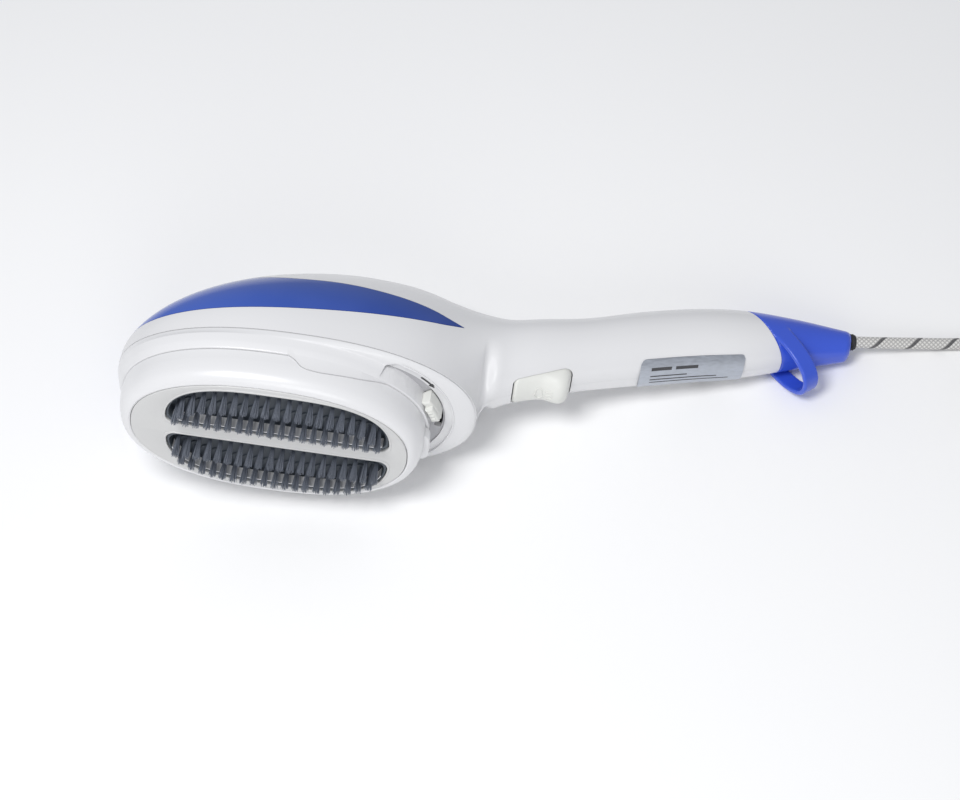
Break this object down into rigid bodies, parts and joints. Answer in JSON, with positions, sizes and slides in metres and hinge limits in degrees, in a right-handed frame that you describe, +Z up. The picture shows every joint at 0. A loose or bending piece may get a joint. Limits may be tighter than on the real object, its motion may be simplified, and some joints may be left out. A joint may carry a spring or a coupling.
{
  "type": "handheld garment steamer brush",
  "caption": "Handheld garment steamer brush lying on its side: domed head with a blue water window, two bristle strips in the sole, a trigger under the handle, and a blue tail cap with a loop.",
  "frame": {"origin": "bottom centre of the steamer as it lies on its side, measured without the free cord, its coil and the plug", "axes": "+Z up from the floor; +X from the head's nose to the tail, where the cord leaves; the flat sole faces -Y"},
  "size_m": [0.5535, 0.1463, 0.1031],
  "materials": {
    "white_plastic": "smooth, glossy moulded plastic",
    "blue_plastic": "satin moulded plastic",
    "window_blue": "polished tinted plastic",
    "clear_plastic": "clear moulded plastic",
    "sole_grey": "fine satin",
    "cream_plastic": "satin moulded plastic",
    "nylon_bristle": "bristle tufts in a dark tray",
    "silver_label": null,
    "steel": "plain",
    "aluminium": "cast",
    "black_rubber": "matt",
    "silicone": "translucent silicone",
    "inner_plastic": "plain moulded plastic",
    "red_lead": "insulated lead",
    "black_plastic": "fine texture",
    "cord_braid": "braided textile with dark flecks"
  },
  "bodies": {
    "housing": {"base_ring": "white_plastic", "chamber_gasket": "black_rubber", "chamber_lid": "aluminium", "clamp_screw_1": "steel", "clamp_screw_2": "steel", "cord_bushing": "black_rubber", "cord_clamp": "inner_plastic", "cord_coil": "cord_braid", "cord_tie": "black_plastic", "delivery_tube": "silicone", "heat_shield": "inner_plastic", "heating_element": "steel", "housing_left": "white_plastic", "housing_right": "white_plastic", "housing_screw_1": "steel", "housing_screw_2": "steel", "inner_cord": "black_plastic", "lead_live": "red_lead", "lead_neutral": "black_plastic", "lid_screw_1": "steel", "lid_screw_2": "steel", "lid_screw_3": "steel", "lid_screw_4": "steel", "mains_cord": "cord_braid", "nozzle_plate": "aluminium", "outlet_seal": "black_rubber", "plug_body": "black_plastic", "plug_pin_1": "steel", "plug_pin_2": "steel", "pump_body": "inner_plastic", "pump_spring": "steel", "rating_label": "silver_label", "steam_chamber": "aluminium", "steam_deck": "inner_plastic", "suction_tube": "silicone", "tail_cap": "blue_plastic", "terminal_block": "inner_plastic", "thermal_fuse": "inner_plastic", "thermostat": "inner_plastic", "trigger_pin": "steel", "water_tank": "clear_plastic", "water_window": "window_blue"},
    "cover": {"brush_cover": "white_plastic", "sole_plate": "sole_grey", "brush_strip_left": "nylon_bristle", "brush_strip_right": "nylon_bristle"},
    "lock": {"lock_slider": "cream_plastic"},
    "trigger": {"steam_trigger": "cream_plastic"},
    "piston": {"pump_piston": "inner_plastic", "piston_seal": "black_rubber"},
    "cap": {"filler_cap": "white_plastic", "filler_seal": "black_rubber"}
  },
  "joints": [
    {"name": "cover_hinge", "type": "hinge", "parent": "housing", "child": "cover", "pos_m": [-0.17343, -0.03751, 0.0636], "axis": [-0.1403, -0.0488, -0.9889], "range_deg": [0, 30]},
    {"name": "lock_slide", "type": "hinge", "parent": "housing", "child": "lock", "pos_m": [-0.05707, -0.02667, 0.04656], "axis": [-0.0069, 0.9988, -0.0483], "range_deg": [0, 25]},
    {"name": "trigger_hinge", "type": "hinge", "parent": "housing", "child": "trigger", "pos_m": [0.01354, -0.0012, 0.03528], "axis": [0.1403, 0.0488, 0.9889], "range_deg": [0, 8], "stiffness_Nm_per_rad": 1.2, "springref_deg": -3.44},
    {"name": "pump_stroke", "type": "slide", "parent": "housing", "child": "piston", "axis": [-0.3772, 0.9261, 0.0079], "range_m": [0, 0.0028], "deforming": ["pump_spring"]},
    {"name": "filler_pull", "type": "slide", "parent": "housing", "child": "cap", "axis": [-0.0069, 0.9988, -0.0483], "range_m": [0, 0.012]}
  ],
  "couplings": [
    {"joint": "pump_stroke", "follows": "trigger_hinge", "m_per_rad": 0.0189}
  ]
}
